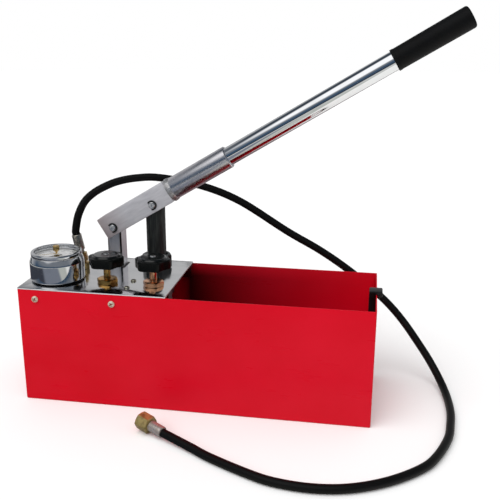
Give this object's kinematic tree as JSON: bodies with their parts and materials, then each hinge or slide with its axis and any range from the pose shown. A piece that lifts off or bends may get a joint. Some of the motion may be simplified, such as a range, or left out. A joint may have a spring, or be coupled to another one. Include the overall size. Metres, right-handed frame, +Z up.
{
  "type": "hydrostatic test pump",
  "caption": "Hand-operated hydrostatic test pump: a lever-worked plunger pump with gauge and valves on a red steel water tank, with its pressure hose.",
  "frame": {"origin": "centre of the tank's bottom face, which stands on the floor", "axes": "+X along the tank towards the lever's grip, +Y towards the lever's side of the deck, +Z up"},
  "size_m": [0.6169, 0.3668, 0.5519],
  "materials": {
    "red_paint": "gloss",
    "bright_plate": "polished",
    "chrome": "polished",
    "zinc": "satin",
    "plain_steel": "satin",
    "lever_steel": "satin",
    "dark_steel": "satin",
    "cast_body": "cast",
    "brass": "machined",
    "copper": "machined",
    "black_gloss": "gloss",
    "black_plastic": "matte",
    "dial_white": "satin",
    "glass": "clear",
    "packing": "matte",
    "rubber": "matte"
  },
  "bodies": {
    "root": {"tank": "red_paint", "deck_plate": "bright_plate", "plate_screw_1": "zinc", "plate_screw_2": "zinc", "plate_screw_3": "zinc", "plate_screw_4": "zinc", "body_screw_1": "zinc", "body_screw_2": "zinc", "link_bracket": "plain_steel", "lever_clip": "black_plastic", "pump_body": "cast_body", "gallery_plug_left": "brass", "gallery_plug_right": "brass", "cylinder_barrel": "plain_steel", "gland_packing": "packing", "gland_nut": "dark_steel", "foot_valve_body": "brass", "suction_strainer": "plain_steel", "delivery_pipe": "copper", "return_pipe": "copper", "shutoff_bonnet": "brass", "release_bonnet": "copper", "gauge_base": "black_plastic", "gauge_case": "chrome", "gauge_bezel": "chrome", "gauge_glass": "glass", "gauge_dial": "dial_white", "gauge_movement": "brass", "bourdon_tube": "brass", "gauge_stem": "brass", "outlet_fitting": "brass", "outlet_nut": "brass", "exit_ferrule": "zinc", "hose": "rubber", "end_ferrule": "zinc", "nut_washer": "rubber", "link_pin": "plain_steel"},
    "link": {"fulcrum_link": "plain_steel"},
    "lever": {"lever_fork": "lever_steel", "lever_tube": "chrome", "lever_grip": "rubber", "fulcrum_pin": "plain_steel", "plunger_pin": "plain_steel", "pin_clip_1": "dark_steel", "pin_clip_2": "dark_steel", "pin_clip_3": "dark_steel", "pin_clip_4": "dark_steel"},
    "plunger_body": {"plunger": "dark_steel"},
    "shutoff_handle": {"shutoff_spindle": "brass", "shutoff_knob": "black_gloss", "shutoff_knob_screw": "plain_steel"},
    "release_handle": {"release_spindle": "copper", "release_knob": "black_gloss", "release_knob_screw": "plain_steel"},
    "needle": {"gauge_needle": "black_plastic"},
    "drag_pointer": {"gauge_pointer": "brass"},
    "suction_valve_ball": {"suction_ball": "plain_steel"},
    "delivery_valve_ball": {"delivery_ball": "plain_steel"},
    "swivel_nut": {"union_nut": "brass"}
  },
  "joints": [
    {"name": "lever_swing", "type": "hinge", "parent": "link", "child": "lever", "pos_m": [-0.14494, 0.046, 0.2355], "axis": [0, -1, 0], "range_deg": [-46.5, 17]},
    {"name": "link_swing", "type": "hinge", "parent": "root", "child": "link", "pos_m": [-0.14494, 0.046, 0.13], "axis": [0, -1, 0], "range_deg": [-3.5, 9]},
    {"name": "plunger_slide", "type": "slide", "parent": "root", "child": "plunger_body", "axis": [0, 0, 1], "range_m": [-0.0485, 0.0185]},
    {"name": "shutoff_turn", "type": "hinge", "parent": "root", "child": "shutoff_handle", "pos_m": [-0.1325, -0.037, 0.1723], "axis": [0, 0, 1], "range_deg": [0, 540]},
    {"name": "release_turn", "type": "hinge", "parent": "root", "child": "release_handle", "pos_m": [-0.064, -0.037, 0.1723], "axis": [0, 0, 1], "range_deg": [0, 540]},
    {"name": "needle_turn", "type": "hinge", "parent": "root", "child": "needle", "pos_m": [-0.209, -0.033, 0.2067], "axis": [0, 0, -1], "range_deg": [0, 270]},
    {"name": "pointer_turn", "type": "hinge", "parent": "root", "child": "drag_pointer", "pos_m": [-0.209, -0.033, 0.213], "axis": [0, 0, -1], "range_deg": [0, 255]},
    {"name": "suction_ball_lift", "type": "slide", "parent": "root", "child": "suction_valve_ball", "axis": [0, 0, 1], "range_m": [0, 0.0025]},
    {"name": "delivery_ball_lift", "type": "slide", "parent": "root", "child": "delivery_valve_ball", "axis": [0, 0, 1], "range_m": [0, 0.0025]},
    {"name": "union_nut_turn", "type": "hinge", "parent": "root", "child": "swivel_nut", "pos_m": [-0.04091, -0.14675, 0.0128], "axis": [-0.8722, 0.4755, 0.1149], "continuous": true}
  ],
  "couplings": [
    {"joint": "link_swing", "follows": "lever_swing", "ratio": -0.18},
    {"joint": "plunger_slide", "follows": "lever_swing", "m_per_rad": 0.0585}
  ]
}
